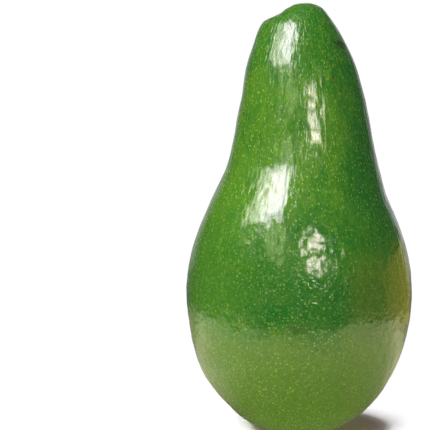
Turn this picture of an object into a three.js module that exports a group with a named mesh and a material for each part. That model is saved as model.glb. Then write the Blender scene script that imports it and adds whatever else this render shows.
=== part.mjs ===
// A whole pear-shaped avocado, green-skinned and glossy, standing on its blossom end.
// Millimetres, +Z up. The origin is the middle of the small flat that it rests on, and -Y is its front.
// The fruit grew as one piece, so it is one closed solid.

import * as THREE from "three";

// Driving dimensions. Heights are measured from the resting flat. A taper is the angle, in degrees,
// at which the outline leans in from upright on its way up.
const FRUIT_HEIGHT = 139;
const BELLY_WIDTH = 73.6; // side to side
const BELLY_DEPTH = 71; // front to back
const BELLY_HEIGHT = 44.5; // where the fruit is widest
const REST_WIDTH = 25; // the blossom end has settled flat under the fruit's own weight
const SHOULDER_LENGTH = 43.5; // from the belly's height to the base of the neck
const NECK_BASE_WIDTH = 48.6;
const NECK_BASE_TAPER = 14.5;
const CROWN_WIDTH = 31; // across the rim where the neck rounds over into the crown
const CROWN_DROP = 15.2; // from the fruit's top down to that rim
const CROWN_TAPER = 22;
const NECK_LEAN = 1; // how far the neck stands to the right of the belly and the crown

// The stem came away cleanly and left a recess in a hollow on the crown's rear left side.
// A bearing is an angle about the fruit, in degrees: 0 is to the right, 90 behind and 270 in front.
const STEM_BEARING = 145;
const STEM_DROP = 2.5;
const STEM_HOLLOW = { reach: 9, depth: 2.7 };
const STEM_RECESS = { reach: 4.2, depth: 2.3 };

// Mesh fineness: the crown's small forms need closer rings than the body's long curves.
const SIDES = 60;
const RING_GAP = 3.3;
const CROWN_RING_GAP = 1.3;

const NECK_BASE_HEIGHT = BELLY_HEIGHT + SHOULDER_LENGTH;
const CROWN_RIM_HEIGHT = FRUIT_HEIGHT - CROWN_DROP;

// The direction in which the outline runs up the fruit where it has this taper.
function alongTaper(taper) {
  const angle = THREE.MathUtils.degToRad(taper);
  return new THREE.Vector2(-Math.sin(angle), Math.cos(angle));
}

// A smooth stretch of outline. Each handle's length is its share of the straight line from end to end.
function outlineStretch(start, end, leaveShare = 1 / 3, arriveShare = 1 / 3) {
  const span = start.at.distanceTo(end.at);
  const leave = start.at.clone().addScaledVector(alongTaper(start.taper), leaveShare * span);
  const arrive = end.at.clone().addScaledVector(alongTaper(end.taper), -arriveShare * span);
  return new THREE.CubicBezierCurve(start.at, leave, arrive, end.at);
}

// The underside: the upright oval that passes through the rest's rim and is widest at the belly.
function underside() {
  const restShare = REST_WIDTH / BELLY_WIDTH;
  const ovalHeight = BELLY_HEIGHT / Math.sqrt(1 - restShare * restShare);
  const startAngle = -Math.asin(BELLY_HEIGHT / ovalHeight);
  return new THREE.EllipseCurve(0, BELLY_HEIGHT, BELLY_WIDTH / 2, ovalHeight, startAngle, 0);
}

// Points of the outline for the rings, from the rest's rim up to just short of the crown's tip.
function ringOutline() {
  const belly = { at: new THREE.Vector2(BELLY_WIDTH / 2, BELLY_HEIGHT), taper: 0 };
  const neckBase = { at: new THREE.Vector2(NECK_BASE_WIDTH / 2, NECK_BASE_HEIGHT), taper: NECK_BASE_TAPER };
  const crownRim = { at: new THREE.Vector2(CROWN_WIDTH / 2, CROWN_RIM_HEIGHT), taper: CROWN_TAPER };
  const tip = { at: new THREE.Vector2(0, FRUIT_HEIGHT), taper: 90 };
  const stretches = [
    { curve: underside(), gap: RING_GAP },
    { curve: outlineStretch(belly, neckBase, 0.43, 0.35), gap: RING_GAP },
    { curve: outlineStretch(neckBase, crownRim), gap: RING_GAP },
    { curve: outlineStretch(crownRim, tip, 0.36, 0.36), gap: CROWN_RING_GAP },
  ];
  return stretches.flatMap(({ curve, gap }) => {
    const steps = Math.max(2, Math.round(curve.getLength() / gap));
    return curve.getSpacedPoints(steps).slice(0, -1);
  });
}

// Where a point of the outline lies when it is turned to a bearing about the fruit's middle line.
function turnedPoint(halfWidth, height, bearing) {
  const leanStart = NECK_BASE_HEIGHT - 0.3 * SHOULDER_LENGTH;
  const leanOut = THREE.MathUtils.smoothstep(height, leanStart, NECK_BASE_HEIGHT);
  const neckMiddle = (NECK_BASE_HEIGHT + CROWN_RIM_HEIGHT) / 2;
  const leanBack = THREE.MathUtils.smoothstep(height, neckMiddle, CROWN_RIM_HEIGHT);
  const angle = THREE.MathUtils.degToRad(bearing);
  return new THREE.Vector3(
    NECK_LEAN * (leanOut - leanBack) + halfWidth * Math.cos(angle),
    (BELLY_DEPTH / BELLY_WIDTH) * halfWidth * Math.sin(angle),
    height,
  );
}

// The outline's half-width at a height.
function halfWidthAt(outline, height) {
  const above = outline.findIndex((point) => point.y > height);
  if (above < 1) return outline[outline.length - 1].x;
  const [low, high] = [outline[above - 1], outline[above]];
  return THREE.MathUtils.mapLinear(height, low.y, high.y, low.x, high.x);
}

// Soft presses and swells that take the fruit from a turned shape to a grown one. Each moves the skin
// within its reach outwards and upwards, or inwards and down where the number is negative.
function grownForms(outline) {
  const stem = { bearing: STEM_BEARING, height: FRUIT_HEIGHT - STEM_DROP };
  const crown = (drop) => FRUIT_HEIGHT - drop;
  const forms = [
    { ...stem, reach: STEM_HOLLOW.reach, out: -0.7, up: -STEM_HOLLOW.depth },
    { ...stem, reach: STEM_RECESS.reach, out: -0.9, up: -STEM_RECESS.depth },
    { bearing: 165, height: crown(7), reach: 11, out: 0.9, up: 0.9 }, // lobe beside the hollow
    { bearing: 200, height: crown(3), reach: 6.5, out: -0.5, up: -0.7 }, // valley to the front
    { bearing: 0, height: crown(0.6), reach: 9, out: 1.4, up: 0 }, // ridge, leaning to the right
    { bearing: 347, height: crown(19), reach: 12, out: 0.6, up: 0 }, // small swell on the upper right
    { bearing: 257, height: NECK_BASE_HEIGHT + 4, reach: 26, out: -0.7, up: 0 }, // flat on the neck's front
    { bearing: 45, height: NECK_BASE_HEIGHT - 4, reach: 26, out: -0.8, up: 0 }, // flat behind the neck
    { bearing: 298, height: BELLY_HEIGHT + 22, reach: 30, out: 0.7, up: 0 }, // fuller front right shoulder
    { bearing: 130, height: BELLY_HEIGHT - 5, reach: 34, out: 0.9, up: 0 }, // fuller rear left belly
    { bearing: 184, height: BELLY_HEIGHT / 2 - 3, reach: 15, out: 0.6, up: -0.2 }, // fuller left heel
  ];
  return forms.map(({ bearing, height, reach, out, up }) => {
    const angle = THREE.MathUtils.degToRad(bearing);
    const at = turnedPoint(halfWidthAt(outline, height), height, bearing);
    return { at, reach, push: new THREE.Vector3(out * Math.cos(angle), out * Math.sin(angle), up) };
  });
}

// 1 at the middle of a form, easing to 0 at its reach.
function falloff(distance, reach) {
  const near = Math.max(0, 1 - distance / reach);
  return near * near * (3 - 2 * near);
}

// A point of the grown skin.
function skinPoint(halfWidth, height, bearing, forms) {
  const turned = turnedPoint(halfWidth, height, bearing);
  const grown = turned.clone();
  forms.forEach(({ at, reach, push }) => grown.addScaledVector(push, falloff(turned.distanceTo(at), reach)));
  return grown;
}

// The closed skin: a fan under the resting flat, rings up the body, and a fan over the crown's tip.
function skinGeometry() {
  const outline = ringOutline();
  const forms = grownForms(outline);
  const points = [new THREE.Vector3(0, 0, 0)];
  outline.forEach(({ x: halfWidth, y: height }) => {
    for (let side = 0; side < SIDES; side += 1) {
      points.push(skinPoint(halfWidth, height, (side / SIDES) * 360, forms));
    }
  });
  points.push(skinPoint(0, FRUIT_HEIGHT, 0, forms));

  const vertex = (ring, side) => 1 + ring * SIDES + (side % SIDES);
  const topRing = outline.length - 1;
  const tip = points.length - 1;
  const faces = [];
  for (let side = 0; side < SIDES; side += 1) {
    faces.push(0, vertex(0, side + 1), vertex(0, side));
    for (let ring = 0; ring < topRing; ring += 1) {
      const [a, b] = [vertex(ring, side), vertex(ring, side + 1)];
      const [c, d] = [vertex(ring + 1, side + 1), vertex(ring + 1, side)];
      faces.push(a, b, c, a, c, d);
    }
    faces.push(vertex(topRing, side), vertex(topRing, side + 1), tip);
  }

  const geometry = new THREE.BufferGeometry().setFromPoints(points).setIndex(faces);
  geometry.computeVertexNormals();
  return geometry;
}

// Waxy, glossy green peel.
function skinMaterial() {
  return new THREE.MeshStandardMaterial({ color: "#3f7d2c", roughness: 0.25, metalness: 0 });
}

function avocadoFruit() {
  const fruit = new THREE.Mesh(skinGeometry(), skinMaterial());
  fruit.name = "avocado_fruit";
  return fruit;
}

const avocado = new THREE.Group();
avocado.add(avocadoFruit());

export default avocado;
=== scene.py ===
"""A whole green avocado standing on its blossom end, on a pale floor in soft studio light.

The fruit is one piece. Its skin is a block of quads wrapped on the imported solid, then grown: broad
lumps, fine ripples that run from stem to blossom end, pebbling on the belly, and the corky stem scar.
Everything is in metres, in the part's own frame: +Z up, -Y to the front.
"""

import logging
import math
from collections.abc import Callable
from dataclasses import dataclass, field
from enum import Enum

import bpy
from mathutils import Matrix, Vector

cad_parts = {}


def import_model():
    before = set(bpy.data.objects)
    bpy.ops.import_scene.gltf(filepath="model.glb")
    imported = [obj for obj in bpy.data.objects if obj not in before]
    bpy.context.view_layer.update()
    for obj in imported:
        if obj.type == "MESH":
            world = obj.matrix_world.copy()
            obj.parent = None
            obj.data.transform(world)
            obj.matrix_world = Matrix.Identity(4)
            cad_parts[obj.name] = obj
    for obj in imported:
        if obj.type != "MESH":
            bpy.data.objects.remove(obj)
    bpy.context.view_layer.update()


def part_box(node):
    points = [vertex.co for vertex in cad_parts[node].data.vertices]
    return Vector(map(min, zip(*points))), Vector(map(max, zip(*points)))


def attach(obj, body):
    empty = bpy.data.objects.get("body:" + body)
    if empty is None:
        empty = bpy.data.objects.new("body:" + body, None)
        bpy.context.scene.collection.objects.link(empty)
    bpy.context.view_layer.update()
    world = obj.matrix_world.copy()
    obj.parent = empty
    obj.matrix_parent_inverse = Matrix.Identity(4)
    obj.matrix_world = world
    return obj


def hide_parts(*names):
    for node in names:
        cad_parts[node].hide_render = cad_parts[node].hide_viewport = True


LOG = logging.getLogger("avocado")
MM = 0.001

Colour = tuple[float, float, float, float]
Weight = Callable[[Vector], float]


# ---------------------------------------------------------------------------------------------
# Small helpers
# ---------------------------------------------------------------------------------------------


def linear(hex_colour: str) -> Colour:
    """Turns an sRGB hex colour into the linear colour that shaders take.

    Args:
        hex_colour: Six hex digits after a #.

    Returns:
        Red, green, blue and an alpha of 1.
    """
    shares = (int(hex_colour[i : i + 2], 16) / 255 for i in (1, 3, 5))
    red, green, blue = (s / 12.92 if s <= 0.04045 else ((s + 0.055) / 1.055) ** 2.4 for s in shares)
    return (red, green, blue, 1.0)


def ease(value: float, start: float, end: float) -> float:
    """Eases from 0 at start to 1 at end, level at both; start may be the larger.

    Args:
        value: The value to place between start and end.
        start: Where the result is 0.
        end: Where the result is 1.

    Returns:
        The eased share.
    """
    share = min(1.0, max(0.0, (value - start) / (end - start)))
    return share * share * (3 - 2 * share)


def add_node(tree: bpy.types.NodeTree, kind: str, inputs: dict | None = None, **settings) -> bpy.types.Node:
    """Adds a shader node with its settings, and links or sets its inputs.

    Args:
        tree: The node tree that the node joins.
        kind: The node's type, without the leading "ShaderNode".
        inputs: Input name or number to a socket that feeds it, or to a constant value.
        settings: Properties of the node itself.

    Returns:
        The new node.
    """
    node = tree.nodes.new("ShaderNode" + kind)
    for name, value in settings.items():
        setattr(node, name, value)
    for key, value in (inputs or {}).items():
        if isinstance(value, bpy.types.NodeSocket):
            tree.links.new(value, node.inputs[key])
        else:
            node.inputs[key].default_value = value
    return node


def select_only(piece: bpy.types.Object) -> None:
    """Deselects everything, then selects one object and makes it active.

    Args:
        piece: The object to work on.
    """
    bpy.ops.object.select_all(action="DESELECT")
    piece.select_set(True)
    bpy.context.view_layer.objects.active = piece


def apply_modifier(piece: bpy.types.Object, kind: str, **settings) -> None:
    """Adds a modifier with its settings to an object, and applies it.

    Args:
        piece: The object that the modifier shapes.
        kind: The modifier's type.
        settings: Properties of the modifier.
    """
    select_only(piece)
    modifier = piece.modifiers.new(kind.title(), kind)
    for name, value in settings.items():
        setattr(modifier, name, value)
    bpy.ops.object.modifier_apply(modifier=modifier.name)


# ---------------------------------------------------------------------------------------------
# The skin's material
# ---------------------------------------------------------------------------------------------


@dataclass(frozen=True)
class Blemish:
    """A brown mark on the skin. Each end is a bearing about the fruit, in degrees, and a height."""

    start: tuple[float, float]
    end: tuple[float, float]
    width: float
    strength: float = 0.85


@dataclass(frozen=True)
class Mark:
    """A blemish whose ends are places on the built skin."""

    start: Vector
    end: Vector
    width: float
    strength: float


@dataclass(frozen=True)
class AvocadoPeel:
    """Ripe avocado peel: thin, smooth, and glossy from its own wax.

    The eye sees a green that shifts between leaf green and a yellower green, darker towards the belly, under a
    clear waxy gloss. Painted light makes it lighter on the side toward the key lamp, painted shade darkens the
    neck on the far side and the crown, and a painted warm reflection turns it olive low on the right. Pale
    corky pores, the lenticels, dot it all over. They are round on the belly, and the growing neck has drawn
    them out into flecks.
    """

    name: str = "avocado_peel"
    leaf: str = "#337423"
    deep: str = "#266e22"
    bright: str = "#4f8623"
    streak: str = "#6f9a2c"
    # Brownish olive: random patches of the skin's own colour, and also a painted warm reflection low on the
    # right.
    bronze_and_reflected_olive: str = "#6a7e28"
    heel: str = "#668a20"
    # Darker green for the neck's side away from the key lamp: painted shade.
    painted_lee_shade: str = "#226826"
    pore: str = "#a6bf42"
    rust: str = "#7a4a26"
    scar: str = "#3b2f26"
    cork: str = "#a07c4e"
    crevice: str = "#3f2c1b"
    # Points to the key lamp's side: the greens are painted lighter toward it and darker away from it.
    key_lamp_side: tuple[float, float, float] = (-3.2, -0.6, 0.0)
    patch_size: float = 14 * MM
    streak_width: float = 1.4 * MM
    mottle_size: float = 0.8 * MM
    pore_spacing: float = 0.58 * MM
    pore_radius: float = 0.225 * MM
    fleck_size: float = 0.5 * MM
    pebble_size: float = 1.05 * MM
    pebble_depth: float = 0.38 * MM
    ripple_size: float = 1.2 * MM
    ripple_depth: float = 0.26 * MM
    crumb_size: float = 0.55 * MM
    crumb_depth: float = 0.9 * MM
    grain_size: float = 0.35 * MM
    grain_depth: float = 0.008 * MM
    girth: float = 24 * MM
    pole: float = 10 * MM
    neck_start: float = 0.05
    neck_full: float = 0.079
    ior: float = 1.46
    wax_gloss: float = 0.19
    coat_weight: float = 0.7
    coat_roughness: float = 0.1

    def make(self, scar_at: Vector, scar_radius: float, marks_at: list[Mark]) -> bpy.types.Material:
        """Builds the material.

        Args:
            scar_at: The middle of the stem scar.
            scar_radius: How far the cork reaches from there.
            marks_at: The blemishes, placed on the skin.

        Returns:
            The peel's material.
        """
        material = bpy.data.materials.new(self.name)
        material.use_nodes = True
        tree = material.node_tree
        tree.nodes.clear()
        place = add_node(tree, "TexCoord").outputs["Object"]
        height = add_node(tree, "SeparateXYZ", {0: place}).outputs["Z"]
        neck = self._share(tree, height, self.neck_start, self.neck_full)
        flecked = self._along_growth(tree, place, 0.736, -1.07)
        drawn = self._along_growth(tree, place, 0.28, 0.0)
        colour = self._greens(tree, place, drawn, neck, height)
        vivid = self._pore_contrast(tree, place, height)
        pores, colour = self._pores(tree, flecked, colour, vivid)
        marks, colour = self._marks(tree, place, colour, marks_at)
        cork, colour = self._cork(tree, place, colour, scar_at, scar_radius)
        roughness = self._roughness(tree, place, pores, marks, cork)
        bump = self._relief(tree, place, flecked, drawn, neck, (pores, marks, cork))
        waxed = self._share(tree, cork, 0.0, 1.0, self.coat_weight, 0.0)
        shader = add_node(
            tree,
            "BsdfPrincipled",
            {
                "Base Color": colour,
                "Roughness": roughness,
                "Normal": bump,
                "IOR": self.ior,
                "Coat Weight": waxed,
                "Coat Roughness": self.coat_roughness,
            },
        )
        add_node(tree, "OutputMaterial", {"Surface": shader.outputs[0]})
        return material

    @staticmethod
    def _share(
        tree: bpy.types.NodeTree, value: bpy.types.NodeSocket, start: float, end: float, low: float = 0.0,
        high: float = 1.0,
    ) -> bpy.types.NodeSocket:
        """Eases from low to high while a value runs from start to end.

        Args:
            tree: The material's nodes.
            value: The value to follow.
            start: Where the result is low.
            end: Where the result is high.
            low: The result at the start.
            high: The result at the end.

        Returns:
            The eased result.
        """
        ends = {"Value": value, "From Min": start, "From Max": end, "To Min": low, "To Max": high}
        return add_node(tree, "MapRange", ends, interpolation_type="SMOOTHSTEP").outputs[0]

    @staticmethod
    def _blend(
        tree: bpy.types.NodeTree, amount: object, under: object, over: object
    ) -> bpy.types.NodeSocket:
        """Lays one colour over another by an amount from 0 to 1."""
        return add_node(tree, "Mix", {0: amount, 6: under, 7: over}, data_type="RGBA").outputs[2]

    def _noise(
        self, tree: bpy.types.NodeTree, place: bpy.types.NodeSocket, size: float, detail: float = 2.0
    ) -> bpy.types.NodeSocket:
        """Adds soft noise whose lumps are about the given size across."""
        return add_node(tree, "TexNoise", {"Vector": place, "Scale": 1 / size, "Detail": detail}).outputs[0]

    def _along_growth(
        self, tree: bpy.types.NodeTree, place: bpy.types.NodeSocket, rate: float, slowing: float
    ) -> bpy.types.NodeSocket:
        """Unrolls the place round the fruit, so that a pattern runs from stem to blossom end.

        Every height is brought to the same girth, apart from near the two poles. The height itself is
        squeezed, which draws the pattern out along the fruit.

        Args:
            tree: The material's nodes.
            place: Object coordinates.
            rate: How fast the pattern runs with height at the bottom.
            slowing: How much slower it runs for each metre of height.

        Returns:
            The place to lay the pattern on.
        """
        level = add_node(tree, "VectorMath", {0: place, 1: (1, 1, 0)}, operation="MULTIPLY").outputs[0]
        square = add_node(tree, "VectorMath", {0: level, 1: level}, operation="DOT_PRODUCT").outputs["Value"]
        eased = add_node(tree, "Math", {0: square, 1: self.pole**2}, operation="ADD").outputs[0]
        reach = add_node(tree, "Math", {0: eased}, operation="SQRT").outputs[0]
        swell = add_node(tree, "Math", {0: self.girth, 1: reach}, operation="DIVIDE").outputs[0]
        around = add_node(tree, "VectorMath", {0: level, 3: swell}, operation="SCALE").outputs[0]
        height = add_node(tree, "SeparateXYZ", {0: place}).outputs["Z"]
        slope = add_node(tree, "Math", {0: height, 1: slowing, 2: rate}, operation="MULTIPLY_ADD").outputs[0]
        squeezed = add_node(tree, "Math", {0: height, 1: slope}, operation="MULTIPLY").outputs[0]
        up = add_node(tree, "CombineXYZ", {"Z": squeezed}).outputs[0]
        return add_node(tree, "VectorMath", {0: around, 1: up}, operation="ADD").outputs[0]

    def _greens(
        self,
        tree: bpy.types.NodeTree,
        place: bpy.types.NodeSocket,
        drawn: bpy.types.NodeSocket,
        neck: bpy.types.NodeSocket,
        height: bpy.types.NodeSocket,
    ) -> bpy.types.NodeSocket:
        """Mixes the greens: broad patches, a yellower heel, streaks up the neck and a fine mottle, with painted
        light toward the key lamp, painted shade on the far side of the neck and at the crown, and a painted olive
        reflection.

        Args:
            tree: The material's nodes.
            place: Object coordinates.
            drawn: The place, drawn out along the fruit.
            neck: 0 on the belly, 1 on the neck.
            height: The height above the resting flat.

        Returns:
            The mixed green.
        """
        toward_key_lamp = add_node(tree, "VectorMath", {0: place, 1: self.key_lamp_side}, operation="DOT_PRODUCT")
        # The patches lean lighter toward the key lamp: painted light.
        patches = add_node(
            tree, "Math", {0: self._noise(tree, place, self.patch_size, 3.0), 1: toward_key_lamp.outputs["Value"]}
        ).outputs[0]
        tide = self._share(tree, patches, 0.39, 0.63)
        low = self._blend(tree, neck, linear(self.deep), linear(self.leaf))
        high = self._blend(tree, neck, linear(self.leaf), linear(self.bright))
        base = self._blend(tree, tide, low, high)
        tanned = self._share(tree, self._noise(tree, place, 0.7 * self.patch_size), 0.54, 0.72, 0.0, 0.13)
        base = self._blend(tree, tanned, base, linear(self.bronze_and_reflected_olive))
        # Lighter, yellower green on the side toward the key lamp: painted light.
        painted_lit_side = self._share(tree, toward_key_lamp.outputs["Value"], 0.045, 0.11, 0.0, 0.62)
        base = self._blend(tree, painted_lit_side, base, linear(self.bright))
        # Olive low on the right, away from the key lamp and on the right-hand flank: a painted warm reflection.
        below = self._share(tree, height, 0.068, 0.054)
        across = add_node(tree, "SeparateXYZ", {0: place}).outputs["X"]
        reflection_lee_side = self._share(tree, toward_key_lamp.outputs["Value"], -0.012, -0.042, 0.0, 0.5)
        reflection_flank = self._share(tree, across, 0.0235, 0.0285, 0.0, 0.75)
        reflection_reach = add_node(tree, "Math", {0: reflection_lee_side, 1: reflection_flank}, operation="MAXIMUM").outputs[0]
        painted_olive_reflection = add_node(tree, "Math", {0: reflection_reach, 1: below}, operation="MULTIPLY").outputs[0]
        base = self._blend(tree, painted_olive_reflection, base, linear(self.bronze_and_reflected_olive))
        wander = add_node(
            tree, "Math", {0: self._noise(tree, place, 12 * MM), 1: 0.016, 2: height}, operation="MULTIPLY_ADD"
        ).outputs[0]
        heel = self._share(tree, wander, 0.05, 0.036, 0.0, 0.75)
        base = self._blend(tree, heel, base, linear(self.heel))
        # Darker green at the crown: painted shade.
        painted_crown_shade = self._share(tree, height, 0.108, 0.13, 0.0, 0.5)
        base = self._blend(tree, painted_crown_shade, base, linear(self.deep))
        ridge = self._share(tree, self._noise(tree, drawn, self.streak_width), 0.46, 0.72)
        reach = add_node(tree, "Math", {0: neck, 1: 0.2, 2: 0.14}, operation="MULTIPLY_ADD").outputs[0]
        amount = add_node(tree, "Math", {0: ridge, 1: reach}, operation="MULTIPLY").outputs[0]
        streaked = self._blend(tree, amount, base, linear(self.streak))
        # Darkens the upper neck on the side away from the key lamp: painted shade.
        painted_lee_shade = self._share(tree, toward_key_lamp.outputs["Value"], -0.012, -0.055, 0.0, 0.8)
        upper = self._share(tree, height, 0.052, 0.08)
        painted_shade_neck = add_node(tree, "Math", {0: painted_lee_shade, 1: upper}, operation="MULTIPLY").outputs[0]
        shaded = self._blend(tree, painted_shade_neck, streaked, linear(self.painted_lee_shade))
        mottle = self._share(tree, self._noise(tree, place, self.mottle_size, 3.0), 0.3, 0.7, 0.87, 1.13)
        return add_node(tree, "VectorMath", {0: shaded, 3: mottle}, operation="SCALE").outputs[0]

    def _pore_contrast(
        self, tree: bpy.types.NodeTree, place: bpy.types.NodeSocket, height: bpy.types.NodeSocket
    ) -> bpy.types.NodeSocket:
        """Sets how far the pores stand out: least on the belly's darkest green and in the painted shade.

        Args:
            tree: The material's nodes.
            place: Object coordinates.
            height: The height above the resting flat.

        Returns:
            The share of their own colour that the pores show.
        """
        toward_key_lamp = add_node(tree, "VectorMath", {0: place, 1: self.key_lamp_side}, operation="DOT_PRODUCT")
        # Dims the pores on the side away from the key lamp: part of the painted shade.
        side = self._share(tree, toward_key_lamp.outputs["Value"], -0.045, 0.0, 0.6, 1.0)
        heel = self._share(tree, height, 0.034, 0.045, 1.0, 0.6)
        above = self._share(tree, height, 0.06, 0.085, 0.6, 1.0)
        level = add_node(tree, "Math", {0: heel, 1: above}, operation="MAXIMUM").outputs[0]
        return add_node(tree, "Math", {0: level, 1: side}, operation="MULTIPLY").outputs[0]

    def _pores(
        self,
        tree: bpy.types.NodeTree,
        flecked: bpy.types.NodeSocket,
        under: bpy.types.NodeSocket,
        vivid: bpy.types.NodeSocket,
    ) -> tuple[bpy.types.NodeSocket, bpy.types.NodeSocket]:
        """Dots the skin with pores. A real one is 0.3 to 0.6 mm wide, and these are at the wide end.

        Args:
            tree: The material's nodes.
            flecked: The place, squeezed so that pores draw out on the neck.
            under: The colour below the pores.
            vivid: The share of their own colour that the pores show.

        Returns:
            The pores' mask, and the colour with them in.
        """
        cells = add_node(
            tree, "TexVoronoi", {"Vector": flecked, "Scale": 1 / self.pore_spacing, "Randomness": 1.0}
        )
        own = add_node(tree, "SeparateColor", {0: cells.outputs["Color"]})
        radius = self.pore_radius / self.pore_spacing
        rim = add_node(
            tree,
            "MapRange",
            {"Value": own.outputs[0], "To Min": 0.45 * radius, "To Max": 1.35 * radius},
        ).outputs[0]
        inner = add_node(tree, "Math", {0: rim, 1: 0.3}, operation="MULTIPLY").outputs[0]
        mask = self._share(tree, cells.outputs["Distance"], rim, inner)
        rusty = add_node(tree, "Math", {0: own.outputs[1], 1: 0.94}, operation="GREATER_THAN").outputs[0]
        tint = self._blend(tree, rusty, linear(self.pore), linear(self.rust))
        shown = add_node(
            tree, "MapRange", {"Value": own.outputs[2], "To Min": 0.2, "To Max": 0.9}
        ).outputs[0]
        own_strength = add_node(tree, "Math", {0: mask, 1: shown}, operation="MULTIPLY").outputs[0]
        strength = add_node(tree, "Math", {0: own_strength, 1: vivid}, operation="MULTIPLY").outputs[0]
        flecks = self._share(tree, self._noise(tree, flecked, self.fleck_size, 1.0), 0.57, 0.7, 0.0, 0.55)
        faint = add_node(tree, "Math", {0: flecks, 1: vivid}, operation="MULTIPLY").outputs[0]
        flecked_green = self._blend(tree, faint, under, linear(self.streak))
        return mask, self._blend(tree, strength, flecked_green, tint)

    def _marks(
        self,
        tree: bpy.types.NodeTree,
        place: bpy.types.NodeSocket,
        under: bpy.types.NodeSocket,
        marks_at: list[Mark],
    ) -> tuple[bpy.types.NodeSocket, bpy.types.NodeSocket]:
        """Adds the healed scratches and specks, each with a ragged edge.

        Args:
            tree: The material's nodes.
            place: Object coordinates.
            under: The colour below the marks.
            marks_at: The blemishes, placed on the skin.

        Returns:
            The marks' mask, and the colour with them in.
        """
        total = None
        for mark in marks_at:
            ragged = self._noise(tree, place, 1.6 * mark.width)
            run = mark.end - mark.start
            from_start = add_node(
                tree, "VectorMath", {0: place, 1: mark.start}, operation="SUBTRACT"
            ).outputs[0]
            along = add_node(
                tree, "VectorMath", {0: from_start, 1: run / run.length_squared}, operation="DOT_PRODUCT"
            )
            within = add_node(tree, "Clamp", {0: along.outputs["Value"]}).outputs[0]
            nearest = add_node(tree, "VectorMath", {0: run, 3: within}, operation="SCALE").outputs[0]
            gap = add_node(tree, "VectorMath", {0: from_start, 1: nearest}, operation="DISTANCE")
            worn = add_node(
                tree,
                "Math",
                {0: ragged, 1: 1.6 * mark.width, 2: gap.outputs["Value"]},
                operation="MULTIPLY_ADD",
            ).outputs[0]
            mask = self._share(tree, worn, 1.8 * mark.width, 0.9 * mark.width, 0.0, mark.strength)
            total = mask if total is None else add_node(
                tree, "Math", {0: total, 1: mask}, operation="MAXIMUM"
            ).outputs[0]
        return total, self._blend(tree, total, under, linear(self.scar))

    def _cork(
        self,
        tree: bpy.types.NodeTree,
        place: bpy.types.NodeSocket,
        under: bpy.types.NodeSocket,
        scar_at: Vector,
        scar_radius: float,
    ) -> tuple[bpy.types.NodeSocket, bpy.types.NodeSocket]:
        """Turns the skin to pale brown cork inside the stem scar.

        Args:
            tree: The material's nodes.
            place: Object coordinates.
            under: The colour around the scar.
            scar_at: The middle of the stem scar.
            scar_radius: How far the cork reaches.

        Returns:
            The cork's mask, and the colour with it in.
        """
        away = add_node(tree, "VectorMath", {0: place, 1: tuple(scar_at)}, operation="DISTANCE")
        wander = add_node(tree, "TexNoise", {"Vector": place, "Scale": 1 / (1.6 * MM), "Detail": 2.0})
        ragged = add_node(
            tree,
            "Math",
            {0: wander.outputs[0], 1: 0.5 * scar_radius, 2: away.outputs["Value"]},
            operation="MULTIPLY_ADD",
        )
        mask = add_node(
            tree,
            "MapRange",
            {"Value": ragged.outputs[0], "From Min": 1.3 * scar_radius, "From Max": 1.05 * scar_radius},
            interpolation_type="SMOOTHSTEP",
        )
        crumbs = self._share(tree, self._noise(tree, place, self.crumb_size, 3.0), 0.38, 0.6)
        tone = add_node(
            tree, "Mix", {0: crumbs, 6: linear(self.crevice), 7: linear(self.cork)}, data_type="RGBA"
        )
        corked = add_node(
            tree, "Mix", {0: mask.outputs[0], 6: under, 7: tone.outputs[2]}, data_type="RGBA"
        )
        return mask.outputs[0], corked.outputs[2]

    def _roughness(
        self,
        tree: bpy.types.NodeTree,
        place: bpy.types.NodeSocket,
        pores: bpy.types.NodeSocket,
        marks: bpy.types.NodeSocket,
        cork: bpy.types.NodeSocket,
    ) -> bpy.types.NodeSocket:
        """Roughens the wax unevenly, and more on pores, marks and cork.

        Args:
            tree: The material's nodes.
            place: Object coordinates.
            pores: The pores' mask.
            marks: The marks' mask.
            cork: The cork's mask.

        Returns:
            The roughness.
        """
        bloom = add_node(tree, "TexNoise", {"Vector": place, "Scale": 1 / (6 * MM), "Detail": 3.0})
        wax = add_node(
            tree,
            "MapRange",
            {
                "Value": bloom.outputs[0],
                "From Min": 0.35,
                "From Max": 0.65,
                "To Min": self.wax_gloss - 0.05,
                "To Max": self.wax_gloss + 0.07,
            },
        )
        dulled = add_node(tree, "Math", {0: pores, 1: 0.2, 2: wax.outputs[0]}, operation="MULTIPLY_ADD")
        marked = add_node(tree, "Math", {0: marks, 1: 0.3, 2: dulled.outputs[0]}, operation="MULTIPLY_ADD")
        return add_node(
            tree, "Math", {0: cork, 1: 0.5, 2: marked.outputs[0]}, operation="MULTIPLY_ADD", use_clamp=True
        ).outputs[0]

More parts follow.
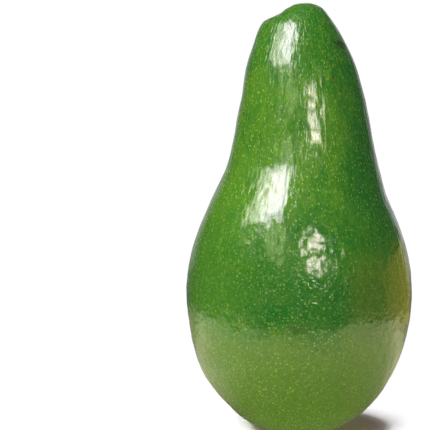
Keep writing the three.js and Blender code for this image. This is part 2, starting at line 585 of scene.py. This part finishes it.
    def _relief(
        self,
        tree: bpy.types.NodeTree,
        place: bpy.types.NodeSocket,
        flecked: bpy.types.NodeSocket,
        drawn: bpy.types.NodeSocket,
        neck: bpy.types.NodeSocket,
        masks: tuple[bpy.types.NodeSocket, bpy.types.NodeSocket, bpy.types.NodeSocket],
    ) -> bpy.types.NodeSocket:
        """Ripples the wax, raises the pores a little, sinks the marks, and roughens the cork.

        Args:
            tree: The material's nodes.
            place: Object coordinates.
            flecked: The place, drawn out a little.
            drawn: The place, drawn out along the fruit.
            neck: 0 on the belly, 1 on the neck.
            masks: The masks of the pores, the marks and the cork.

        Returns:
            The normal.
        """
        pores, marks, cork = masks
        grain = self._noise(tree, place, self.grain_size)
        fine = add_node(tree, "Bump", {"Strength": 1.0, "Distance": self.grain_depth, "Height": grain})
        heights = []
        for pattern, size, depth in (
            (flecked, self.pebble_size, self.pebble_depth),
            (drawn, self.ripple_size, self.ripple_depth),
        ):
            lumps = self._noise(tree, pattern, size, 1.0)
            heights.append(add_node(tree, "Math", {0: lumps, 1: depth}, operation="MULTIPLY").outputs[0])
        full = add_node(tree, "Mix", {0: neck, 2: heights[0], 3: heights[1]}, data_type="FLOAT").outputs[0]
        level = add_node(tree, "SeparateXYZ", {0: place}).outputs["Z"]
        calm = self._share(tree, level, 0.012, 0.046, 0.4, 1.0)
        waves = add_node(tree, "Math", {0: full, 1: calm}, operation="MULTIPLY").outputs[0]
        wavy = add_node(
            tree, "Bump", {"Strength": 1.0, "Distance": 1.0, "Height": waves, "Normal": fine.outputs[0]}
        )
        raised = add_node(
            tree,
            "Bump",
            {"Strength": 1.0, "Distance": 0.01 * MM, "Height": pores, "Normal": wavy.outputs[0]},
        )
        sunk = add_node(
            tree,
            "Bump",
            {"Strength": 1.0, "Distance": 0.15 * MM, "Height": marks, "Normal": raised.outputs[0]},
            invert=True,
        )
        crumbs = self._noise(tree, place, self.crumb_size, 3.0)
        rough = add_node(tree, "Math", {0: crumbs, 1: cork}, operation="MULTIPLY")
        return add_node(
            tree,
            "Bump",
            {
                "Strength": 1.0,
                "Distance": self.crumb_depth,
                "Height": rough.outputs[0],
                "Normal": sunk.outputs[0],
            },
        ).outputs[0]


# ---------------------------------------------------------------------------------------------
# The fruit
# ---------------------------------------------------------------------------------------------


class Grain(Enum):
    """The ways that the skin's relief can be laid out."""

    CLOUDS = "CLOUDS"
    CELLS = "VORONOI"


@dataclass(frozen=True)
class Relief:
    """One layer of the skin's relief, pushed in and out along the skin's own normal."""

    name: str
    grain: Grain
    width: float
    height: float
    draw_out: float = 1.0
    mask: str = ""


@dataclass(frozen=True)
class Swell:
    """A broad, low rise of the skin, placed by its bearing about the fruit and its height."""

    bearing: float
    height: float
    bearing_reach: float
    height_reach: float
    push: float

    def weight(self, co: Vector) -> float:
        """Gives the swell's share at a point: 1 at its middle, easing to 0 at its reach."""
        turn = math.remainder(math.atan2(co.y, co.x) - self.bearing, math.tau)
        return ease(abs(turn), self.bearing_reach, 0) * ease(abs(co.z - self.height), self.height_reach, 0)


@dataclass
class Fruit:
    """The whole fruit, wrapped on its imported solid."""

    node: str = "avocado_fruit"
    slot: str = "skin"
    body: str = "root"
    peel: AvocadoPeel = field(default_factory=AvocadoPeel)
    cells: int = 6
    layers: int = 12
    scar_bearing: float = math.radians(145)
    scar_reach: float = 7.2 * MM
    scar_radius: float = 3.0 * MM
    reliefs: tuple[Relief, ...] = (
        Relief("lumps", Grain.CLOUDS, 26 * MM, 0.9 * MM),
        Relief("dents", Grain.CLOUDS, 7 * MM, 0.2 * MM),
        Relief("ripples", Grain.CLOUDS, 1.7 * MM, 0.22 * MM, 5.0, "neck"),
        Relief("pebbles", Grain.CLOUDS, 2.1 * MM, 0.32 * MM, 1.3, "belly"),
    )
    swells: tuple[Swell, ...] = (
        Swell(math.radians(226), 0.069, math.radians(55), 0.022, 1.1 * MM),
        Swell(math.radians(264), 0.08, math.radians(48), 0.02, 1.1 * MM),
        Swell(math.radians(247), 0.088, math.radians(36), 0.018, -0.4 * MM),
        Swell(math.radians(214), 0.134, math.radians(40), 0.008, 0.5 * MM),
        Swell(math.radians(207), 0.1342, math.radians(14), 0.0025, -0.35 * MM),
    )
    blemishes: tuple[Blemish, ...] = (
        Blemish((318, 0.1265), (334, 0.1243), 0.7 * MM, 0.95),
        Blemish((327, 0.1264), (352, 0.1236), 0.9 * MM, 0.95),
        Blemish((315, 0.1272), (317, 0.127), 0.6 * MM, 0.5),
        Blemish((232.4, 0.1202), (232.8, 0.1199), 0.6 * MM),
        Blemish((302.7, 0.1156), (303.2, 0.1152), 0.6 * MM),
        Blemish((217.1, 0.1092), (217.6, 0.1088), 0.5 * MM),
        Blemish((262, 0.0392), (271, 0.0388), 1.3 * MM, 0.3),
    )

    def build(self) -> bpy.types.Object:
        """Wraps, grows and dresses the skin.

        Returns:
            The finished skin.
        """
        core = self._smooth_core()
        skin = self._block(core)
        self._wrap(skin, core)
        scar_at = self._scar_place(core)
        bpy.data.objects.remove(core)
        self._mark_zones(skin, scar_at)
        for number, swell in enumerate(self.swells):
            apply_modifier(
                skin, "DISPLACE", strength=swell.push, mid_level=0, vertex_group=self._swell_zone(number)
            )
        for relief in self.reliefs:
            self._grow(skin, relief)
        self._press_scar(skin)
        self._finish(skin, scar_at)
        return skin

    def _smooth_core(self) -> bpy.types.Object:
        """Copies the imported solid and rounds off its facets.

        Returns:
            A smooth stand-in for the solid, for the skin to be wrapped on.
        """
        solid = bpy.data.objects[self.node]
        core = solid.copy()
        core.data = solid.data.copy()
        core.name = "core"
        bpy.context.collection.objects.link(core)
        select_only(core)
        bpy.ops.object.mode_set(mode="EDIT")
        bpy.ops.mesh.select_all(action="SELECT")
        bpy.ops.mesh.remove_doubles(threshold=0.001 * MM)
        bpy.ops.mesh.tris_convert_to_quads()
        bpy.ops.object.mode_set(mode="OBJECT")
        apply_modifier(core, "SUBSURF", levels=3, render_levels=3)
        return core

    def _block(self, core: bpy.types.Object) -> bpy.types.Object:
        """Makes a block of quads as tall as the fruit, drawn in to the fruit's width at each layer.

        Args:
            core: The smooth stand-in for the solid.

        Returns:
            The block.
        """
        low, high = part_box(self.node)
        height = high[2] - low[2]
        bpy.ops.object.select_all(action="DESELECT")
        bpy.ops.mesh.primitive_cube_add(size=height, location=(0, 0, 0))
        skin = bpy.context.object
        skin.name = "avocado_skin"
        skin.data.name = "avocado_skin"
        bpy.ops.object.mode_set(mode="EDIT")
        bpy.ops.mesh.select_all(action="SELECT")
        bpy.ops.transform.translate(value=(0, 0, low[2] + height / 2))
        bpy.ops.mesh.subdivide(number_cuts=self.cells - 1)
        for layer in range(1, self.layers):
            if layer % 2:
                level = low[2] + height * layer / self.layers
                bpy.ops.mesh.select_all(action="SELECT")
                bpy.ops.mesh.bisect(plane_co=(0, 0, level), plane_no=(0, 0, 1))
        for layer in range(self.layers + 1):
            self._draw_in(skin, core, low[2] + height * layer / self.layers, height)
        bpy.ops.object.mode_set(mode="OBJECT")
        return skin

    def _draw_in(self, skin: bpy.types.Object, core: bpy.types.Object, level: float, height: float) -> None:
        """Scales one layer of the block to the fruit's width and place at that height.

        Args:
            skin: The block, in edit mode.
            core: The smooth stand-in for the solid.
            level: The layer's height.
            height: The fruit's height, which is also the block's width before this.
        """
        inset = 0.06 * height
        near = min(max(level, inset), height - inset)
        ring = [v.co for v in core.data.vertices if abs(v.co.z - near) < 1.2 * MM]
        low_x, high_x = min(c.x for c in ring), max(c.x for c in ring)
        low_y, high_y = min(c.y for c in ring), max(c.y for c in ring)
        squareness = 0.88
        bpy.ops.mesh.select_all(action="DESELECT")
        bpy.ops.object.mode_set(mode="OBJECT")
        for vertex in skin.data.vertices:
            vertex.select = abs(vertex.co.z - level) < 0.5 * MM
        bpy.ops.object.mode_set(mode="EDIT")
        bpy.ops.transform.resize(
            value=(squareness * (high_x - low_x) / height, squareness * (high_y - low_y) / height, 1),
            center_override=(0, 0, level),
        )
        bpy.ops.transform.translate(value=((low_x + high_x) / 2, (low_y + high_y) / 2, 0))

    def _wrap(self, skin: bpy.types.Object, core: bpy.types.Object) -> None:
        """Refines the block step by step, and lays it on the fruit's surface at each step.

        Args:
            skin: The block, which becomes the skin.
            core: The smooth stand-in for the solid.
        """
        for steps, relaxing in ((1, 6), (1, 3), (1, 2), (1, 0)):
            apply_modifier(skin, "SUBSURF", levels=steps, render_levels=steps)
            apply_modifier(skin, "SHRINKWRAP", target=core)
            if relaxing:
                apply_modifier(skin, "SMOOTH", factor=0.5, iterations=relaxing)
                apply_modifier(skin, "SHRINKWRAP", target=core)
        apply_modifier(skin, "SMOOTH", factor=0.5, iterations=2)

    def _scar_place(self, core: bpy.types.Object) -> Vector:
        """Finds the bottom of the stem's recess.

        Args:
            core: The smooth stand-in for the solid.

        Returns:
            The middle of the stem scar.
        """
        top = max((v.co for v in core.data.vertices), key=lambda c: c.z)
        aim = Vector((math.cos(self.scar_bearing), math.sin(self.scar_bearing), 0)) * self.scar_reach
        near = [
            v.co for v in core.data.vertices if (v.co.xy - aim.xy).length < 0.35 * MM and v.co.z > 0.8 * top.z
        ]
        return sum(near, Vector()) / len(near)

    def _mark_zones(self, skin: bpy.types.Object, scar_at: Vector) -> None:
        """Gives the skin the vertex groups that hold each relief to its own part of the fruit.

        Args:
            skin: The wrapped skin.
            scar_at: The middle of the stem scar.
        """
        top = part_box(self.node)[1][2]
        radius = self.scar_radius

        def off_scar(co: Vector) -> float:
            return ease((co - scar_at).length, 0.8 * radius, 1.6 * radius)

        def off_flat(co: Vector) -> float:
            return ease(co.z, 0.01 * top, 0.06 * top)

        zones: dict[str, Weight] = {
            "neck": lambda co: off_scar(co) * ease(co.z, 0.2 * top, 0.55 * top),
            "belly": lambda co: off_scar(co) * off_flat(co) * (0.25 + 0.75 * ease(co.z, 0.62 * top, 0.42 * top)),
            "scar_floor": lambda co: ease((co - scar_at).length, 1.05 * radius, 0.8 * radius),
            "scar_rim": lambda co: ease(abs((co - scar_at).length - 1.2 * radius), 0.3 * radius, 0),
        }
        zones.update({self._swell_zone(n): swell.weight for n, swell in enumerate(self.swells)})
        for name, weight in zones.items():
            group = skin.vertex_groups.new(name=name)
            for vertex in skin.data.vertices:
                share = weight(vertex.co)
                if share > 0:
                    group.add([vertex.index], share, "REPLACE")

    @staticmethod
    def _swell_zone(number: int) -> str:
        """Names the vertex group of one swell."""
        return f"swell_{number}"

    def _grow(self, skin: bpy.types.Object, relief: Relief) -> None:
        """Displaces the skin by one layer of relief.

        Args:
            skin: The wrapped skin.
            relief: The layer to add.
        """
        texture = bpy.data.textures.new(relief.name, relief.grain.value)
        texture.noise_scale = relief.width
        bpy.ops.object.select_all(action="DESELECT")
        bpy.ops.object.empty_add(location=(0, 0, 0))
        guide = bpy.context.object
        guide.scale = (1, 1, relief.draw_out)
        bpy.context.view_layer.update()
        apply_modifier(
            skin,
            "DISPLACE",
            texture=texture,
            texture_coords="OBJECT",
            texture_coords_object=guide,
            strength=relief.height,
            mid_level=0.5,
            vertex_group=relief.mask,
        )
        bpy.data.objects.remove(guide)
        bpy.data.textures.remove(texture)

    def _press_scar(self, skin: bpy.types.Object) -> None:
        """Sinks the scar's floor with a firm edge, and raises the cork's rim around it.

        Args:
            skin: The grown skin.
        """
        for mask, push in (("scar_floor", -0.5 * MM), ("scar_rim", 0.3 * MM)):
            apply_modifier(skin, "DISPLACE", strength=push, mid_level=0, vertex_group=mask)
        self._grow(skin, Relief("cork", Grain.CLOUDS, 0.9 * MM, 0.35 * MM, 1.0, "scar_floor"))

    def _on_skin(self, skin: bpy.types.Object, spot: tuple[float, float]) -> Vector:
        """Finds the place on the skin at a bearing and a height.

        Args:
            skin: The grown skin.
            spot: The bearing in degrees, and the height.

        Returns:
            The place.
        """
        bearing, height = math.radians(spot[0]), spot[1]
        out = Vector((math.cos(bearing), math.sin(bearing), 0))
        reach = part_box(self.node)[1][2]
        _, place, _, _ = skin.ray_cast(out * reach + Vector((0, 0, height)), -out)
        return place

    def _finish(self, skin: bpy.types.Object, scar_at: Vector) -> None:
        """Smooths the shading, gives the peel its material, and ties the skin to the frame.

        Args:
            skin: The grown skin.
            scar_at: The middle of the stem scar.
        """
        skin.vertex_groups.clear()
        select_only(skin)
        bpy.ops.object.shade_smooth()
        skin.data.materials.clear()
        marks = [
            Mark(self._on_skin(skin, b.start), self._on_skin(skin, b.end), b.width, b.strength)
            for b in self.blemishes
        ]
        skin.data.materials.append(self.peel.make(scar_at, self.scar_radius, marks))
        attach(skin, self.body)
        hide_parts(self.node)


# ---------------------------------------------------------------------------------------------
# The studio
# ---------------------------------------------------------------------------------------------


class Reach(Enum):
    """What a lamp acts on."""

    ALL = "all"
    GLOSS = "gloss"
    DIFFUSE = "diffuse"


@dataclass(frozen=True)
class SoftBox:
    """A softbox placed around the fruit by bearing and height above the level."""

    name: str
    azimuth: float
    elevation: float
    distance: float
    width: float
    height: float
    brightness: float
    colour: str = "#ffffff"
    reach: Reach = Reach.ALL

    def hang(self, target: Vector) -> None:
        """Adds the lamp, turned to the target.

        Args:
            target: The point that it faces.
        """
        azimuth, elevation = math.radians(self.azimuth), math.radians(self.elevation)
        away = Vector(
            (
                math.sin(azimuth) * math.cos(elevation),
                -math.cos(azimuth) * math.cos(elevation),
                math.sin(elevation),
            )
        )
        data = bpy.data.lights.new(self.name, "AREA")
        data.shape = "RECTANGLE"
        data.size = self.width
        data.size_y = self.height
        data.energy = self.brightness * math.pi * self.width * self.height
        data.color = linear(self.colour)[:3]
        lamp = bpy.data.objects.new(self.name, data)
        lamp.location = target + away * self.distance
        lamp.rotation_euler = (-away).to_track_quat("-Z", "Y").to_euler()
        lamp.visible_camera = False
        lamp.visible_diffuse = self.reach is not Reach.GLOSS
        lamp.visible_glossy = self.reach is not Reach.DIFFUSE
        bpy.context.collection.objects.link(lamp)


@dataclass
class Studio:
    """The floor, the lamps, the backdrop and the camera."""

    floor_size: float = 6.0
    floor_exposure: tuple[float, float, float] = (2.6, 2.3, 2.8)
    # A darker disc of floor just under the fruit: a painted shadow.
    painted_shadow_tone: tuple[float, float, float] = (0.93, 0.62, 0.76)
    shaded_reach: tuple[float, float] = (0.025, 0.048)
    painted_shadow_reach: tuple[float, float] = (0.021, 0.0245)
    painted_shadow_centre: tuple[float, float, float] = (0.0075, 0.003, 0.0)
    sheen_colour: tuple[float, float, float] = (1.0, 0.9, 0.6)
    sheen_brightness: float = 1.25
    sheen_radius: float = 0.17
    sheen_centre: tuple[float, float] = (0.0, 0.04)
    camera_elevation: float = 7.0
    camera_distance: float = 0.5827
    lens: float = 150.0
    aim: tuple[float, float, float] = (-0.0274, 0.0, 0.0703)
    boxes: tuple[SoftBox, ...] = (
        SoftBox("key", -42, 45, 1.2, 1.1, 1.1, 3.7, "#ffffff", Reach.DIFFUSE),
        SoftBox("overhead", 0, 90, 1.2, 0.46, 0.46, 9, "#ffffff", Reach.DIFFUSE),
        SoftBox("key_core", -43, 50, 1.2, 0.36, 0.5, 7, "#fae6ff", Reach.GLOSS),
        SoftBox("key_glow", -43, 50, 1.22, 0.54, 0.74, 8.5, "#fae6ff", Reach.GLOSS),
        SoftBox("key_wing", -66, 40, 1.25, 0.4, 0.38, 4.5, "#fff4ee", Reach.GLOSS),
        SoftBox("key_spill", -52, 47, 1.3, 1.1, 0.85, 1.2, "#fdfbd8", Reach.GLOSS),
        SoftBox("front_core", 15, 17, 1.4, 0.2, 0.14, 10.5, "#fff0ea", Reach.GLOSS),
        SoftBox("front_glow", 15, 17, 1.42, 0.38, 0.28, 9.4, "#ffe9e2", Reach.GLOSS),
        SoftBox("front_spill", 15, 17, 1.5, 0.7, 0.45, 0.9, "#fff2e4", Reach.GLOSS),
        SoftBox("neck_spill", -27, 22, 1.3, 0.42, 0.34, 2.1, "#f8ffc0", Reach.GLOSS),
        SoftBox("warm_card", 113, -13, 0.153, 0.145, 0.07, 0.4, "#ffe24e", Reach.GLOSS),
    )

    def build(self) -> None:
        """Sets up everything around the fruit."""
        self._lay_floor()
        self._light_surroundings()
        for box in self.boxes:
            box.hang(Vector((0, 0, self.aim[2])))
        self._place_camera()
        bpy.context.scene.view_settings.view_transform = "Standard"

    def _lay_floor(self) -> None:
        """Lays the white floor that is seen, and over it the lit round that the gloss mirrors."""
        bpy.ops.object.select_all(action="DESELECT")
        bpy.ops.mesh.primitive_plane_add(size=self.floor_size, location=(0, 0, 0))
        floor = bpy.context.object
        floor.name = "floor"
        self._sink(floor, (0, 0, -0.3 * MM))
        floor.data.materials.append(self._floor_finish())
        floor.visible_glossy = False
        bpy.ops.object.select_all(action="DESELECT")
        bpy.ops.mesh.primitive_circle_add(
            vertices=64, radius=self.sheen_radius, fill_type="NGON", location=(0, 0, 0)
        )
        sheen = bpy.context.object
        sheen.name = "floor_sheen"
        self._sink(sheen, (*self.sheen_centre, -0.1 * MM))
        sheen.data.materials.append(self._sheen_finish())
        sheen.visible_camera = False
        for sheet in (floor, sheen):
            sheet.visible_diffuse = False
            sheet.visible_shadow = False

    def _sink(self, sheet: bpy.types.Object, by: tuple[float, float, float]) -> None:
        """Moves a sheet's mesh, so that the object itself stays at the origin.

        Args:
            sheet: The sheet to move.
            by: How far it moves.
        """
        select_only(sheet)
        bpy.ops.object.mode_set(mode="EDIT")
        bpy.ops.mesh.select_all(action="SELECT")
        bpy.ops.transform.translate(value=by)
        bpy.ops.object.mode_set(mode="OBJECT")

    def _away(
        self, tree: bpy.types.NodeTree, centre: tuple[float, float, float] = (0.0, 0.0, 0.0)
    ) -> bpy.types.NodeSocket:
        """Measures how far a place is from a centre."""
        place = add_node(tree, "TexCoord").outputs["Object"]
        return add_node(tree, "VectorMath", {0: place, 1: centre}, operation="DISTANCE").outputs["Value"]

    def _floor_finish(self) -> bpy.types.Material:
        """Makes the seen floor: matt, shaded near the fruit with a painted shadow under it, pure white further
        out.

        Returns:
            The material.
        """
        material = bpy.data.materials.new("floor_paint")
        material.use_nodes = True
        tree = material.node_tree
        tree.nodes.clear()
        start, end = self.shaded_reach
        out = add_node(
            tree,
            "MapRange",
            {"Value": self._away(tree), "From Min": start, "From Max": end},
            interpolation_type="SMOOTHSTEP",
        ).outputs[0]
        # Darkens the floor's colour in a small disc under the fruit: a painted shadow.
        near, clear = self.painted_shadow_reach
        painted_shadow = add_node(
            tree,
            "MapRange",
            {
                "Value": self._away(tree, self.painted_shadow_centre),
                "From Min": near,
                "From Max": clear,
            },
            interpolation_type="SMOOTHSTEP",
        ).outputs[0]
        tone = add_node(
            tree,
            "Mix",
            {0: painted_shadow, 6: (*self.painted_shadow_tone, 1.0), 7: (*self.floor_exposure, 1.0)},
            data_type="RGBA",
        ).outputs[2]
        paint = add_node(tree, "BsdfDiffuse", {"Color": tone})
        white = add_node(tree, "Emission", {"Color": linear("#ffffff"), "Strength": 1.0})
        both = add_node(tree, "MixShader", {0: out, 1: paint.outputs[0], 2: white.outputs[0]})
        add_node(tree, "OutputMaterial", {"Surface": both.outputs[0]})
        return material

    def _sheen_finish(self) -> bpy.types.Material:
        """Makes the lit round, dimmer where the fruit shades it.

        Returns:
            The material.
        """
        material = bpy.data.materials.new("sheen_paint")
        material.use_nodes = True
        tree = material.node_tree
        tree.nodes.clear()
        lit = add_node(
            tree,
            "MapRange",
            {
                "Value": self._away(tree),
                "From Min": 0.028,
                "From Max": 0.118,
                "To Min": 0.1 * self.sheen_brightness,
                "To Max": self.sheen_brightness,
            },
        ).outputs[0]
        place = add_node(tree, "TexCoord").outputs["Object"]
        depth = add_node(tree, "SeparateXYZ", {0: place}).outputs["Y"]
        back = add_node(
            tree, "MapRange", {"Value": depth, "From Min": 0.045, "From Max": 0.09, "To Min": 1.0, "To Max": 0.25}
        ).outputs[0]
        # Brighter and whiter on the left, where the key lamp lights the floor past the fruit: painted light.
        across = add_node(tree, "SeparateXYZ", {0: place}).outputs["X"]
        open_side = add_node(
            tree, "MapRange", {"Value": across, "From Min": -0.018, "From Max": -0.05, "To Max": 0.74}
        ).outputs[0]
        fullest = add_node(tree, "Math", {0: lit, 1: open_side}, operation="MAXIMUM").outputs[0]
        front = add_node(
            tree,
            "MapRange",
            {"Value": depth, "From Min": -0.13, "From Max": -0.085, "To Min": 0.25, "To Max": 1.0},
            interpolation_type="SMOOTHSTEP",
        ).outputs[0]
        faded = add_node(tree, "Math", {0: back, 1: front}, operation="MULTIPLY").outputs[0]
        strength = add_node(tree, "Math", {0: fullest, 1: faded}, operation="MULTIPLY").outputs[0]
        whitened = add_node(tree, "Math", {0: open_side, 1: 0.28}, operation="MULTIPLY").outputs[0]
        tone = add_node(
            tree,
            "Mix",
            {0: whitened, 6: (*self.sheen_colour, 1.0), 7: linear("#ffffff")},
            data_type="RGBA",
        ).outputs[2]
        glow = add_node(tree, "Emission", {"Color": tone, "Strength": strength})
        add_node(tree, "OutputMaterial", {"Surface": glow.outputs[0]})
        return material

    def _light_surroundings(self) -> None:
        """Makes the backdrop white to look at, and dim around the fruit apart from behind it."""
        world = bpy.data.worlds.new("studio")
        bpy.context.scene.world = world
        world.use_nodes = True
        tree = world.node_tree
        tree.nodes.clear()
        way = add_node(tree, "TexCoord").outputs["Generated"]
        apart = add_node(tree, "SeparateXYZ", {0: way})
        behind = add_node(
            tree,
            "MapRange",
            {"Value": apart.outputs["Y"], "From Min": 0.72, "From Max": 0.98, "To Min": 0.04, "To Max": 0.62},
            interpolation_type="SMOOTHSTEP",
        )
        leftward = add_node(
            tree, "MapRange", {"Value": apart.outputs["X"], "From Min": -0.3, "To Min": 0.55, "From Max": 0.05}
        )
        upward = add_node(
            tree,
            "MapRange",
            {"Value": apart.outputs["Z"], "From Min": -0.16, "From Max": -0.07, "To Min": 0.3, "To Max": 1.0},
            interpolation_type="SMOOTHSTEP",
        )
        above = add_node(
            tree, "Math", {0: behind.outputs[0], 1: upward.outputs[0]}, operation="MULTIPLY"
        )
        edge = add_node(
            tree, "Math", {0: above.outputs[0], 1: leftward.outputs[0]}, operation="MULTIPLY"
        )
        around = add_node(
            tree,
            "MapRange",
            {"Value": apart.outputs["Z"], "From Min": -0.25, "From Max": 0.05, "To Min": 1.05, "To Max": 0.14},
        )
        rays = add_node(tree, "LightPath")
        mirrored = add_node(
            tree,
            "Mix",
            {0: rays.outputs["Is Glossy Ray"], 2: around.outputs[0], 3: edge.outputs[0]},
            data_type="FLOAT",
        )
        seen = add_node(
            tree, "Mix", {0: rays.outputs["Is Camera Ray"], 2: mirrored.outputs[0], 3: 1.0}, data_type="FLOAT"
        )
        light = add_node(
            tree, "Background", {"Color": linear("#ffffff"), "Strength": seen.outputs[0]}
        )
        add_node(tree, "OutputWorld", {"Surface": light.outputs[0]})

    def _place_camera(self) -> None:
        """Puts the camera in front and a little above, with a long lens."""
        pitch = math.radians(self.camera_elevation)
        data = bpy.data.cameras.new("camera")
        data.lens = self.lens
        camera = bpy.data.objects.new("camera", data)
        back = Vector((0, -math.cos(pitch), math.sin(pitch)))
        camera.location = Vector(self.aim) + back * self.camera_distance
        camera.rotation_euler = (math.radians(90) - pitch, 0, 0)
        bpy.context.collection.objects.link(camera)
        bpy.context.scene.camera = camera


def main() -> None:
    """Loads the frame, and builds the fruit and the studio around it."""
    logging.basicConfig(level=logging.INFO, format="%(message)s")
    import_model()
    skin = Fruit().build()
    LOG.info("%s: %d faces", skin.name, len(skin.data.polygons))
    Studio().build()


if __name__ == "__main__":
    main()
